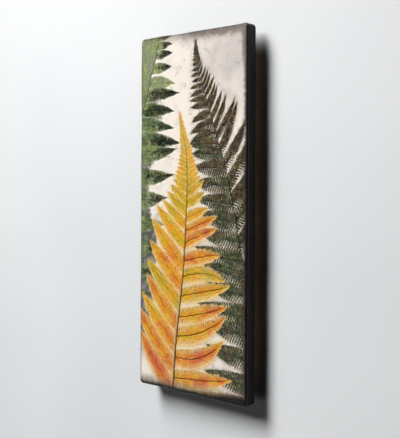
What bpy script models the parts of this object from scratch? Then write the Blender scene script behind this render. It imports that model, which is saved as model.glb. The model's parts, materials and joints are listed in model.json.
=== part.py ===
"""Stoneware wall plaque on a slim timber hanging frame.

The plaque is one kiln-fired slab with soft corners.  Dabs of adhesive hold it
to a ladder of five battens, which keeps it clear of the wall.  A keyhole plate
let into the top batten drops over a wall screw, and four bumpers touch the wall.

Units are metres, +Z is up and the picture face looks along -Y.  The wall is the
plane y = 0.  The origin is where the wall screw seats in the keyhole's slot.
"""
import math

import bmesh
import bpy
from mathutils import Matrix

# ---- driving dimensions -------------------------------------------------
PLAQUE_WIDTH = 0.203
PLAQUE_HEIGHT = 0.508
PLAQUE_THICKNESS = 0.018
PLAQUE_CORNER = 0.007        # radius of the four corners, seen from the front
PLAQUE_FRONT_ROUND = 0.0035  # roll-over of the front edge
PLAQUE_BACK_ROUND = 0.001

GAP = 0.0003                 # clearance between pieces that touch
BUMPER_THICKNESS = 0.002
BATTEN_THICKNESS = 0.010
ADHESIVE_THICKNESS = 0.0009

FRAME_WIDTH = 0.140
FRAME_HEIGHT = 0.400
BATTEN_WIDTH = 0.022
TOP_RAIL_WIDTH = 0.048       # deeper, to take the keyhole plate
BATTEN_EASE = 0.0008         # sanded edges

HANGER_DROP = 0.068          # from the plaque's top edge to the wall screw
SEAT_DROP = 0.014            # from the top batten's upper edge to the wall screw

PLATE_WIDTH = 0.016
PLATE_HEIGHT = 0.040
PLATE_THICKNESS = 0.0015
SLOT_WIDTH = 0.0050          # takes the wall screw's shank
KEY_HOLE_RADIUS = 0.0050     # lets the wall screw's head through
KEY_DROP = 0.012             # from the seat down to the centre of the large hole
PLATE_CENTRE_DROP = 0.0065   # from the seat down to the plate's middle
PLATE_SCREW_REACH = 0.0160   # from the plate's middle to each of its screws
POCKET_DEPTH = 0.0055        # room behind the plate for the wall screw's head
POCKET_WIDTH = 0.0125

FRAME_SCREW = {"head_radius": 0.0032, "shank_radius": 0.0015, "length": 0.034, "slot": 0.0008}
PLATE_SCREW = {"head_radius": 0.0027, "shank_radius": 0.0012, "length": 0.0075, "slot": 0.0007}

BUMPER_RADIUS = 0.006
ADHESIVE_PAD = (0.015, 0.046)  # width and height of one dab, pressed flat

# ---- positions that follow from them ------------------------------------
BATTEN_BACK_Y = -(BUMPER_THICKNESS + GAP)
BATTEN_FRONT_Y = BATTEN_BACK_Y - BATTEN_THICKNESS
ADHESIVE_BACK_Y = BATTEN_FRONT_Y - GAP
ADHESIVE_FRONT_Y = ADHESIVE_BACK_Y - ADHESIVE_THICKNESS
PLAQUE_BACK_Y = ADHESIVE_FRONT_Y - GAP
PLAQUE_FRONT_Y = PLAQUE_BACK_Y - PLAQUE_THICKNESS

PLAQUE_CENTRE_Z = HANGER_DROP - PLAQUE_HEIGHT / 2
FRAME_TOP_Z = SEAT_DROP
FRAME_CENTRE_Z = FRAME_TOP_Z - FRAME_HEIGHT / 2
STILE_X = (FRAME_WIDTH - BATTEN_WIDTH) / 2
RAIL_LENGTH = FRAME_WIDTH - 2 * BATTEN_WIDTH - 2 * GAP
TOP_RAIL_Z = FRAME_TOP_Z - TOP_RAIL_WIDTH / 2
BOTTOM_RAIL_Z = FRAME_TOP_Z - FRAME_HEIGHT + BATTEN_WIDTH / 2
MIDDLE_RAIL_Z = (TOP_RAIL_Z + BOTTOM_RAIL_Z) / 2
BATTEN_MIDDLE_Y = (BATTEN_BACK_Y + BATTEN_FRONT_Y) / 2
PLATE_CENTRE_Z = -PLATE_CENTRE_DROP

MATERIALS = {
    "stoneware": ((0.84, 0.77, 0.67), 0.35, 0.0),
    "pine": ((0.62, 0.44, 0.26), 0.65, 0.0),
    "zinc_steel": ((0.62, 0.62, 0.60), 0.35, 1.0),
    "adhesive": ((0.80, 0.79, 0.74), 0.50, 0.0),
    "felt": ((0.16, 0.15, 0.14), 0.95, 0.0),
}


def make_material(name):
    colour, roughness, metallic = MATERIALS[name]
    material = bpy.data.materials.new(name)
    material.use_nodes = True
    shader = material.node_tree.nodes["Principled BSDF"]
    shader.inputs["Base Color"].default_value = (*colour, 1.0)
    shader.inputs["Roughness"].default_value = roughness
    shader.inputs["Metallic"].default_value = metallic
    return material


def add_object(name, bm, material=None):
    """Turn a bmesh into an object; outward normals, smooth with sharp edges kept."""
    bmesh.ops.recalc_face_normals(bm, faces=bm.faces)
    mesh = bpy.data.meshes.new(name)
    bm.to_mesh(mesh)
    bm.free()
    mesh.shade_smooth()
    mesh.set_sharp_from_angle(angle=math.radians(35))
    obj = bpy.data.objects.new(name, mesh)
    bpy.context.collection.objects.link(obj)
    if material:
        mesh.materials.append(material)
    return obj


def as_cutter(obj):
    obj.hide_render = True
    obj.display_type = "WIRE"
    return obj


def cut(obj, cutter):
    modifier = obj.modifiers.new("cut_" + cutter.name, "BOOLEAN")
    modifier.operation = "DIFFERENCE"
    modifier.solver = "EXACT"
    modifier.object = cutter


def ease_edges(obj, width):
    modifier = obj.modifiers.new("eased_edges", "BEVEL")
    modifier.width = width
    modifier.segments = 2
    modifier.limit_method = "ANGLE"


def outline(width, height, radius, inset, arc_steps):
    """Rounded rectangle in X and Z about the origin, every side moved in by inset."""
    half_x = width / 2 - radius
    half_z = height / 2 - radius
    points = []
    for quarter, (sign_x, sign_z) in enumerate([(1, 1), (-1, 1), (-1, -1), (1, -1)]):
        for step in range(arc_steps + 1):
            angle = (quarter + step / arc_steps) * math.pi / 2
            reach = radius - inset
            points.append((sign_x * half_x + reach * math.cos(angle),
                           sign_z * half_z + reach * math.sin(angle)))
    return points


def stack_of_outlines(levels, width, height, radius, arc_steps, centre):
    """Closed solid through rounded rectangles; levels hold (y, inset), back to front."""
    bm = bmesh.new()
    rings = []
    for y, inset in levels:
        ring = [bm.verts.new((centre[0] + x, y, centre[1] + z))
                for x, z in outline(width, height, radius, inset, arc_steps)]
        rings.append(ring)
    count = len(rings[0])
    for lower, upper in zip(rings, rings[1:]):
        for i in range(count):
            j = (i + 1) % count
            bm.faces.new((lower[i], lower[j], upper[j], upper[i]))
    bm.faces.new(rings[0])
    bm.faces.new(rings[-1])
    return bm


def turned(profile, sides, place):
    """Closed solid of revolution about +Z; profile holds (radius, z), ends on the axis."""
    bm = bmesh.new()
    rings = []
    for radius, z in profile[1:-1]:
        rings.append([bm.verts.new((radius * math.cos(2 * math.pi * i / sides),
                                    radius * math.sin(2 * math.pi * i / sides), z))
                      for i in range(sides)])
    first = bm.verts.new((0, 0, profile[0][1]))
    last = bm.verts.new((0, 0, profile[-1][1]))
    for i in range(sides):
        j = (i + 1) % sides
        bm.faces.new((first, rings[0][j], rings[0][i]))
        bm.faces.new((last, rings[-1][i], rings[-1][j]))
        for lower, upper in zip(rings, rings[1:]):
            bm.faces.new((lower[i], lower[j], upper[j], upper[i]))
    bm.transform(place)
    return bm


def box(width, depth, height, centre):
    bm = bmesh.new()
    bmesh.ops.create_cube(bm, size=1.0)
    bm.transform(Matrix.Translation(centre) @ Matrix.Diagonal((width, depth, height, 1.0)))
    return bm


def make_plaque(material):
    steps = 4
    levels = [(PLAQUE_BACK_Y, PLAQUE_BACK_ROUND),
              (PLAQUE_BACK_Y - PLAQUE_BACK_ROUND, 0.0)]
    for i in range(steps + 1):
        turn = i / steps * math.pi / 2
        levels.append((PLAQUE_FRONT_Y + PLAQUE_FRONT_ROUND * (1 - math.sin(turn)),
                       PLAQUE_FRONT_ROUND * (1 - math.cos(turn))))
    bm = stack_of_outlines(levels, PLAQUE_WIDTH, PLAQUE_HEIGHT, PLAQUE_CORNER, 6,
                           (0.0, PLAQUE_CENTRE_Z))
    return add_object("plaque", bm, material)


def make_batten(name, width, height, x, z, material):
    bm = box(width, BATTEN_THICKNESS, height, (x, BATTEN_MIDDLE_Y, z))
    batten = add_object(name, bm, material)
    ease_edges(batten, BATTEN_EASE)
    return batten


def screw_profile(spec, grow, over):
    """Countersunk screw along -Z with its head's face at z = over."""
    head = spec["head_radius"] + grow
    shank = spec["shank_radius"] + grow
    cone = spec["head_radius"] - spec["shank_radius"]
    point = spec["length"] + grow
    return [(0, over), (head, over), (head, -0.0003), (shank, -cone - 0.0003),
            (shank, -point + 2 * shank), (0.0004 + grow, -point), (0, -point)]


def make_screw(name, spec, place, material):
    """A slotted countersunk screw, and the cutter for the hole that it fills."""
    sides = 16
    screw = add_object(name, turned(screw_profile(spec, 0.0, 0.0), sides, place), material)
    slot = box(spec["slot"], 3 * spec["head_radius"], 0.0014, (0, 0, 0))
    slot.transform(place)
    cut(screw, as_cutter(add_object(name + "_slot", slot)))
    hole = turned(screw_profile(spec, GAP, 0.001), sides, place)
    return as_cutter(add_object(name + "_hole", hole))


def make_keyhole_plate(material):
    """Oblong steel plate: round entry hole below, narrow slot running up to the seat."""
    centre = (0.0, PLATE_CENTRE_Z)
    levels = [(BATTEN_BACK_Y, 0.0), (BATTEN_BACK_Y - PLATE_THICKNESS, 0.0)]
    bm = stack_of_outlines(levels, PLATE_WIDTH, PLATE_HEIGHT, PLATE_WIDTH / 2 - 0.0002, 6, centre)
    plate = add_object("keyhole_plate", bm, material)
    through = [(BATTEN_BACK_Y + 0.001, 0.0), (BATTEN_BACK_Y - PLATE_THICKNESS - 0.001, 0.0)]
    slot_height = KEY_DROP + SLOT_WIDTH
    slot = stack_of_outlines(through, SLOT_WIDTH, slot_height, SLOT_WIDTH / 2 - 0.0001, 6,
                             (0.0, SLOT_WIDTH / 2 - slot_height / 2))
    entry = stack_of_outlines(through, 2 * KEY_HOLE_RADIUS, 2 * KEY_HOLE_RADIUS,
                              KEY_HOLE_RADIUS - 0.0001, 6, (0.0, -KEY_DROP))
    cut(plate, as_cutter(add_object("keyhole_slot", slot)))
    cut(plate, as_cutter(add_object("keyhole_entry", entry)))
    return plate


def make_plate_recess():
    """Cutters in the top batten: the plate's shallow seat and the head's pocket."""
    seat_levels = [(BATTEN_BACK_Y + 0.001, 0.0), (BATTEN_BACK_Y - PLATE_THICKNESS - GAP, 0.0)]
    seat = stack_of_outlines(seat_levels, PLATE_WIDTH + 2 * GAP, PLATE_HEIGHT + 2 * GAP,
                             PLATE_WIDTH / 2, 6, (0.0, PLATE_CENTRE_Z))
    floor_y = BATTEN_BACK_Y - PLATE_THICKNESS - POCKET_DEPTH
    pocket_height = KEY_DROP + POCKET_WIDTH
    pocket_levels = [(BATTEN_BACK_Y + 0.002, 0.0), (floor_y, 0.0)]
    pocket = stack_of_outlines(pocket_levels, POCKET_WIDTH, pocket_height,
                               POCKET_WIDTH / 2 - 0.0001, 6, (0.0, -KEY_DROP / 2))
    return (as_cutter(add_object("plate_seat", seat)),
            as_cutter(add_object("head_pocket", pocket)))


def make_bumper(name, x, z, material):
    ease = 0.0005
    profile = [(0, 0), (BUMPER_RADIUS - ease, 0), (BUMPER_RADIUS, ease),
               (BUMPER_RADIUS, BUMPER_THICKNESS), (0, BUMPER_THICKNESS)]
    place = Matrix.Translation((x, 0, z)) @ Matrix.Rotation(math.pi / 2, 4, "X")
    return add_object(name, turned(profile, 24, place), material)


def make_adhesive(name, x, z, material):
    ease = 0.0003
    levels = [(ADHESIVE_BACK_Y, ease), (ADHESIVE_BACK_Y - ease, 0.0),
              (ADHESIVE_FRONT_Y + ease, 0.0), (ADHESIVE_FRONT_Y, ease)]
    bm = stack_of_outlines(levels, *ADHESIVE_PAD, ADHESIVE_PAD[0] / 2 - 0.0005, 5, (x, z))
    return add_object(name, bm, material)


def build():
    for obj in list(bpy.data.objects):
        bpy.data.objects.remove(obj, do_unlink=True)
    materials = {name: make_material(name) for name in MATERIALS}
    make_plaque(materials["stoneware"])

    # the ladder of battens
    pine = materials["pine"]
    stiles = {}
    for side, sign in (("left", -1), ("right", 1)):
        stiles[side] = make_batten("frame_" + side + "_stile", BATTEN_WIDTH, FRAME_HEIGHT,
                                   sign * STILE_X, FRAME_CENTRE_Z, pine)
    rail_heights = {"top": TOP_RAIL_WIDTH, "middle": BATTEN_WIDTH, "bottom": BATTEN_WIDTH}
    rail_places = {"top": TOP_RAIL_Z, "middle": MIDDLE_RAIL_Z, "bottom": BOTTOM_RAIL_Z}
    rails = {row: make_batten("frame_" + row + "_rail", RAIL_LENGTH, rail_heights[row],
                              0.0, rail_places[row], pine) for row in rail_places}

    # one screw through the stile into each end of each rail
    for row, z in rail_places.items():
        for side, sign in (("left", -1), ("right", 1)):
            place = (Matrix.Translation((sign * FRAME_WIDTH / 2, BATTEN_MIDDLE_Y, z))
                     @ Matrix.Rotation(sign * math.pi / 2, 4, "Y"))
            hole = make_screw("screw_" + row + "_" + side, FRAME_SCREW, place,
                              materials["zinc_steel"])
            cut(stiles[side], hole)
            cut(rails[row], hole)

    # keyhole plate, its two screws, and the room behind it
    plate = make_keyhole_plate(materials["zinc_steel"])
    for cutter in make_plate_recess():
        cut(rails["top"], cutter)
    for row, end in (("upper", 1), ("lower", -1)):
        z = PLATE_CENTRE_Z + end * PLATE_SCREW_REACH
        place = Matrix.Translation((0, BATTEN_BACK_Y, z)) @ Matrix.Rotation(-math.pi / 2, 4, "X")
        hole = make_screw("plate_screw_" + row, PLATE_SCREW, place, materials["zinc_steel"])
        cut(plate, hole)
        cut(rails["top"], hole)

    # adhesive between battens and plaque, bumpers between battens and wall
    rows = {"upper": FRAME_TOP_Z - 0.045, "middle": FRAME_CENTRE_Z,
            "lower": FRAME_TOP_Z - FRAME_HEIGHT + 0.045}
    for side, sign in (("left", -1), ("right", 1)):
        for row, z in rows.items():
            make_adhesive("adhesive_" + row + "_" + side, sign * STILE_X, z,
                          materials["adhesive"])
        for row, z in (("upper", FRAME_TOP_Z - 0.011),
                       ("lower", FRAME_TOP_Z - FRAME_HEIGHT + 0.011)):
            make_bumper("bumper_" + row + "_" + side, sign * STILE_X, z, materials["felt"])


build()
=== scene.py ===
import json
import math

import bpy
import numpy as np
from mathutils import Matrix, Vector

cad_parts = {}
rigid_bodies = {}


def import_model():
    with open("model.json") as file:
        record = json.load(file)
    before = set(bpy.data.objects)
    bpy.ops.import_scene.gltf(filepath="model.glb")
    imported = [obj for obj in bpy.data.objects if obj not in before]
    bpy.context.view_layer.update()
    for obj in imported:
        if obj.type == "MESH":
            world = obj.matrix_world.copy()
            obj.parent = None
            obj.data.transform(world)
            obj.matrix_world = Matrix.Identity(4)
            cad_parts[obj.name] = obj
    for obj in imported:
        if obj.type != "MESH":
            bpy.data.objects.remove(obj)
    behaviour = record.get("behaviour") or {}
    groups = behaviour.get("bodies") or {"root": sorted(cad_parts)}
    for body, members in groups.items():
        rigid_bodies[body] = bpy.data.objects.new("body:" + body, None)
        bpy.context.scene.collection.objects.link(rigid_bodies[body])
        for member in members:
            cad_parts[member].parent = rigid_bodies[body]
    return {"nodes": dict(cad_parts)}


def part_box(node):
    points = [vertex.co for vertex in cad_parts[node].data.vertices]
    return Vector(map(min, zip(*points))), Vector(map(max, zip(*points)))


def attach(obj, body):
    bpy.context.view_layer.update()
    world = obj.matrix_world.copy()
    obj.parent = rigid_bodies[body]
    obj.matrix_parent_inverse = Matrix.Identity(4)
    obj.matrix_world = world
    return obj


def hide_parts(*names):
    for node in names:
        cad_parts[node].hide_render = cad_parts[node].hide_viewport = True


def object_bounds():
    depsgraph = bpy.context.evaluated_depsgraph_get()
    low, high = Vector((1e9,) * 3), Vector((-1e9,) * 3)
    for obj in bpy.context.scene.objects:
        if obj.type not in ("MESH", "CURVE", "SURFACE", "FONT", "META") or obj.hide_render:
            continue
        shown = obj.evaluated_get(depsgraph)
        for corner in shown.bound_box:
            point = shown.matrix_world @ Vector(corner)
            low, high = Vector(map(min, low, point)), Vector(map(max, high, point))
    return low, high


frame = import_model()
cadLow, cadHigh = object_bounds()
slabLow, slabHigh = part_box("plaque")
mm = 0.001
faceWidth = (slabHigh.x - slabLow.x) / mm     # the face in millimetres: u runs right and v runs down
faceHeight = (slabHigh.z - slabLow.z) / mm
print("frame loaded, plaque face", round(faceWidth), "x", round(faceHeight), "mm")


# lens in mm, turn and roll in degrees, the rest in metres from the plaque's middle, right side and face
view = {"focal": 67.5, "turn": 42.15, "roll": 0.25, "riseAbovePlaque": 0.0394, "alongRightEdge": 0.6794,
        "beforeFace": 0.8431, "shiftDown": 0.0782}
# soft boxes that face the plaque: a tall key at the upper left that throws the shadow, a weak low one that
# opens the shadow's lower end, and a fill and a back light that leave the wall alone
lamps = {
    "key": {"toward": (-0.55, -1.0, 1.2), "distance": 3.2, "wide": 1.2, "tall": 2.4, "spread": 75,
            "watts": 34, "spares": None},
    "low": {"toward": (-0.9, -1.0, -0.8), "distance": 1.2, "wide": 0.9, "tall": 0.5, "spread": 180,
            "watts": 0.8, "spares": None},
    "fill": {"toward": (0.5, -1.0, 0.15), "distance": 2.8, "wide": 2.2, "tall": 2.2, "spread": 180,
             "watts": 3, "spares": "wall"},
    "back": {"toward": (-0.5, 1.0, 0.7), "distance": 2.2, "wide": 1.6, "tall": 1.6, "spread": 180,
             "watts": 20, "spares": "wall"},
}
room = {"wall": "#f2f3f4", "wallSpeck": "#e6e9eb", "floor": "#e9e8e4", "floorSpeck": "#dedcd6",
        "floorShade": "#9a9a9a", "sky": "#f4f6f8", "skyLight": 0.004, "backdrop": 0.8, "wallHalfWidth": 2.2,
        "wallGap": 0.0002, "ceilingRise": 1.6, "floorDrop": 1.05, "floorHalfWidth": 4, "floorHalfDepth": 5}


def placeCamera():
    # stands off the plaque's right side and in front of its face, level, and turned back towards it
    camera = bpy.data.cameras.new("camera")
    camera.lens = view["focal"]
    camera.shift_y = -view["shiftDown"]
    holder = bpy.data.objects.new("camera", camera)
    bpy.context.scene.collection.objects.link(holder)
    middle = (slabLow.z + slabHigh.z) / 2
    holder.location = (slabHigh.x + view["alongRightEdge"], slabLow.y - view["beforeFace"],
                       middle + view["riseAbovePlaque"])
    upright = Matrix.Rotation(math.radians(view["turn"]), 4, "Z") @ Matrix.Rotation(math.pi / 2, 4, "X")
    holder.rotation_euler = (upright @ Matrix.Rotation(math.radians(view["roll"]), 4, "Z")).to_euler()
    bpy.context.scene.camera = holder


def placeLamp(name, lamp):
    # a rectangle of light that faces the plaque's middle from a heading and a distance
    light = bpy.data.lights.new(name, "AREA")
    light.shape = "RECTANGLE"
    light.size = lamp["wide"]
    light.size_y = lamp["tall"]
    light.spread = math.radians(lamp["spread"])
    light.energy = lamp["watts"]
    holder = bpy.data.objects.new(name, light)
    bpy.context.scene.collection.objects.link(holder)
    toward = Vector(lamp["toward"]).normalized()
    middle = (slabLow + slabHigh) / 2
    holder.location = middle + toward * lamp["distance"]
    holder.rotation_euler = toward.to_track_quat("Z", "Y").to_euler()
    if lamp["spares"]:
        # this lamp leaves the wall alone, so the plaque's shadow on it keeps its depth
        spared = bpy.data.collections.new(name + "_spares")
        spared.objects.link(bpy.data.objects[lamp["spares"]])
        spared.collection_objects[0].light_linking.link_state = "EXCLUDE"
        holder.light_linking.receiver_collection = spared


def paint(code):
    # a sheet colour such as #aabbcc as the linear values that shaders take
    parts = [int(code[i:i + 2], 16) / 255 for i in (1, 3, 5)]
    return tuple(p / 12.92 if p <= 0.04045 else ((p + 0.055) / 1.055) ** 2.4 for p in parts) + (1.0,)


class Wire:
    # an output socket that can be added, multiplied and compared like a number
    def __init__(self, bench, socket):
        self.bench = bench
        self.socket = socket

    def maths(self, kind, *values):
        return self.bench.add("ShaderNodeMath", {"operation": kind}, dict(enumerate(values)))

    def __add__(self, other):
        return self.maths("ADD", self, other)

    def __sub__(self, other):
        return self.maths("SUBTRACT", self, other)

    def __rsub__(self, other):
        return self.maths("SUBTRACT", other, self)

    def __mul__(self, other):
        return self.maths("MULTIPLY", self, other)

    def __truediv__(self, other):
        return self.maths("DIVIDE", self, other)

    __radd__ = __add__
    __rmul__ = __mul__

    def top(self, other):
        # the larger of the two
        return self.maths("MAXIMUM", self, other)

    def step(self, low, high):
        # 0 below low, 1 above high, smooth between
        limits = {"Value": self, "From Min": low, "From Max": high}
        return self.bench.add("ShaderNodeMapRange", {"interpolation_type": "SMOOTHSTEP"}, limits)

    def split(self):
        # a vector's three parts
        parts = self.bench.tree.nodes.new("ShaderNodeSeparateXYZ")
        self.bench.tree.links.new(self.socket, parts.inputs[0])
        return [Wire(self.bench, out) for out in parts.outputs]


class Bench:
    # one material being wired: add() makes any node from its type, settings and inputs
    def __init__(self, name, **constants):
        self.material = bpy.data.materials.new(name)
        self.material.use_nodes = True
        self.tree = self.material.node_tree
        self.shader = self.tree.nodes["Principled BSDF"]
        for socket, value in constants.items():
            self.shader.inputs[socket.replace("_", " ")].default_value = value

    def add(self, kind, settings, inputs, out=0):
        node = self.tree.nodes.new(kind)
        for key, value in settings.items():
            if key == "stops":
                ramp = node.color_ramp
                while len(ramp.elements) < len(value):
                    ramp.elements.new(0.5)
                for element, (position, code) in zip(ramp.elements, value):
                    element.position = position
                    element.color = paint(code)
            else:
                setattr(node, key, value)
        for key, value in inputs.items():
            if isinstance(value, Wire):
                self.tree.links.new(value.socket, node.inputs[key])
            else:
                node.inputs[key].default_value = value
        return Wire(self, node.outputs[out])

    def mix(self, under, upper, amount):
        # colours are mixed by a Mix node: 6 and 7 are its colour sockets and 2 its colour output
        settings = {"data_type": "RGBA", "clamp_factor": True}
        return self.add("ShaderNodeMix", settings, {0: amount, 6: under, 7: upper}, 2)

    def coat(self, under, code, amount):
        # a plain colour laid over another by an amount from 0 to 1
        return self.mix(under, paint(code), amount)

    def shade(self, colour, code):
        # a colour multiplied by a plain one
        settings = {"data_type": "RGBA", "blend_type": "MULTIPLY"}
        return self.add("ShaderNodeMix", settings, {0: 1.0, 6: colour, 7: paint(code)}, 2)

    def ramp(self, value, stops):
        return self.add("ShaderNodeValToRGB", {"stops": stops}, {0: value})

    def place(self):
        # metres in the object's own space
        return self.add("ShaderNodeTexCoord", {}, {}, 3)

    def stretched(self, scale):
        return self.add("ShaderNodeMapping", {}, {"Vector": self.place(), "Scale": scale})

    def noise(self, size, detail=3.0, rough=0.55, at=None, bend=0.0):
        # cloud of lumps about size millimetres across
        inputs = {"Vector": at or self.place(), "Scale": 1 / (size * mm), "Detail": detail,
                  "Roughness": rough, "Distortion": bend}
        return self.add("ShaderNodeTexNoise", {}, inputs)

    def dots(self, size):
        # distance from scattered points about size millimetres apart
        return self.add("ShaderNodeTexVoronoi", {}, {"Vector": self.place(), "Scale": 1 / (size * mm)})

    def layer(self, name):
        # the three values that a point layer holds
        return self.add("ShaderNodeAttribute", {"attribute_name": name}, {}, 1).split()

    def bump(self, height, strength, depth, under=None):
        inputs = {"Height": height, "Strength": strength, "Distance": depth}
        if under:
            inputs["Normal"] = under
        return self.add("ShaderNodeBump", {}, inputs)

    def finish(self, **sockets):
        # what varies over the surface goes into the shader last
        for socket, wire in sockets.items():
            self.tree.links.new(wire.socket, self.shader.inputs[socket.replace("_", " ")])
        return self.material


def wallPaint():
    # front face is painted plaster; from behind, and for light from behind, it isn't there
    bench = Bench("wallPaint", Roughness=0.9)
    speck = bench.noise(600, 2.0)
    colour = bench.mix(paint(room["wall"]), paint(room["wallSpeck"]), speck.step(0.35, 0.75))
    bench.finish(Base_Color=colour)
    behind = bench.add("ShaderNodeNewGeometry", {}, {}, 6)
    shadowRay = bench.add("ShaderNodeLightPath", {}, {}, 1)
    clear = bench.tree.nodes.new("ShaderNodeBsdfTransparent")
    choose = bench.tree.nodes.new("ShaderNodeMixShader")
    bench.tree.links.new(behind.top(shadowRay).socket, choose.inputs[0])
    bench.tree.links.new(bench.shader.outputs[0], choose.inputs[1])
    bench.tree.links.new(clear.outputs[0], choose.inputs[2])
    bench.tree.links.new(choose.outputs[0], bench.tree.nodes["Material Output"].inputs[0])
    return bench.material


def floorPaint():
    # pale to look at from every side, while it throws no light back up at the wall
    bench = Bench("floorPaint", Roughness=0.9, Specular_IOR_Level=0.1, Emission_Strength=0.85)
    colour = bench.mix(paint(room["floor"]), paint(room["floorSpeck"]), bench.noise(500, 2.0).step(0.3, 0.7))
    seen = bench.add("ShaderNodeLightPath", {}, {}, 0)
    shown = bench.mix(paint("#000000"), colour, seen)
    return bench.finish(Base_Color=bench.shade(shown, room["floorShade"]), Emission_Color=shown)


def flatSheet(name, corners, material):
    # one four-cornered face of the stage
    mesh = bpy.data.meshes.new(name)
    mesh.from_pydata(corners, [], [(0, 1, 2, 3)])
    mesh.materials.append(material)
    sheet = bpy.data.objects.new(name, mesh)
    bpy.context.scene.collection.objects.link(sheet)


def buildRoom():
    # the wall just behind the bumpers' faces, the floor under it, and the sky
    side = room["wallHalfWidth"]
    floor = slabLow.z - room["floorDrop"]
    ceiling = slabHigh.z + room["ceilingRise"]
    back = cadHigh.y + room["wallGap"]
    wall = [(-side, back, floor), (side, back, floor), (side, back, ceiling), (-side, back, ceiling)]
    flatSheet("wall", wall, wallPaint())
    across, along = room["floorHalfWidth"], room["floorHalfDepth"]
    ground = [(-across, -along, floor), (across, -along, floor), (across, along, floor),
              (-across, along, floor)]
    flatSheet("floor", ground, floorPaint())
    world = bpy.data.worlds.new("room")
    bpy.context.scene.world = world
    world.use_nodes = True
    # a pale backdrop to look at that gives almost no light of its own
    sky = world.node_tree.nodes["Background"]
    sky.inputs[0].default_value = paint(room["sky"])
    seen = world.node_tree.nodes.new("ShaderNodeLightPath")
    level = world.node_tree.nodes.new("ShaderNodeMapRange")
    level.inputs["To Min"].default_value = room["skyLight"]
    level.inputs["To Max"].default_value = room["backdrop"]
    world.node_tree.links.new(seen.outputs["Is Camera Ray"], level.inputs["Value"])
    world.node_tree.links.new(level.outputs[0], sky.inputs[1])
    bpy.context.scene.view_settings.view_transform = "Standard"


placeCamera()
buildRoom()
for lampName, lamp in lamps.items():
    placeLamp(lampName, lamp)
print("camera, lamps and room placed")


def smoothStep(low, high, value):
    # 0 below low, 1 above high, 3 t^2 - 2 t^3 between
    t = np.clip((value - low) / (high - low), 0, 1)
    return t * t * (3 - 2 * t)


def law(pairs, at):
    # straight lines between (place, value) pairs
    return np.interp(at, [a for a, _ in pairs], [b for _, b in pairs])


def through(points, count=260):
    # Catmull-Rom curve through the points, resampled to even steps of length
    p = np.array(points, float)
    p = np.vstack([2 * p[0] - p[1], p, 2 * p[-1] - p[-2]])
    t = np.linspace(0, 1, 24)[:, None]
    runs = [0.5 * (2 * b + (c - a) * t + (2 * a - 5 * b + 4 * c - d) * t ** 2
                   + (3 * b - a - 3 * c + d) * t ** 3)
            for a, b, c, d in zip(p, p[1:], p[2:], p[3:])]
    curve = np.vstack(runs)
    curve = curve[np.r_[True, np.linalg.norm(np.diff(curve, axis=0), axis=1) > 1e-6]]
    length = np.r_[0, np.cumsum(np.linalg.norm(np.diff(curve, axis=0), axis=1))]
    even = np.linspace(0, length[-1], count)
    return np.column_stack([np.interp(even, length, curve[:, i]) for i in (0, 1)])


def clouds(u, v, size, seed, waves=14):
    # sum of sine waves of random heading and about the given length, from -1 to 1
    rng = np.random.default_rng(seed)
    total = np.zeros(np.broadcast(u, v).shape, np.float32)
    for _ in range(waves):
        heading, phase = rng.uniform(0, 2 * math.pi, 2)
        pace = 2 * math.pi / (size * rng.uniform(0.7, 1.6))
        total += np.sin(pace * (u * math.cos(heading) + v * math.sin(heading)) + phase)
    return np.clip(total / math.sqrt(waves), -2, 2) / 2


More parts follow.
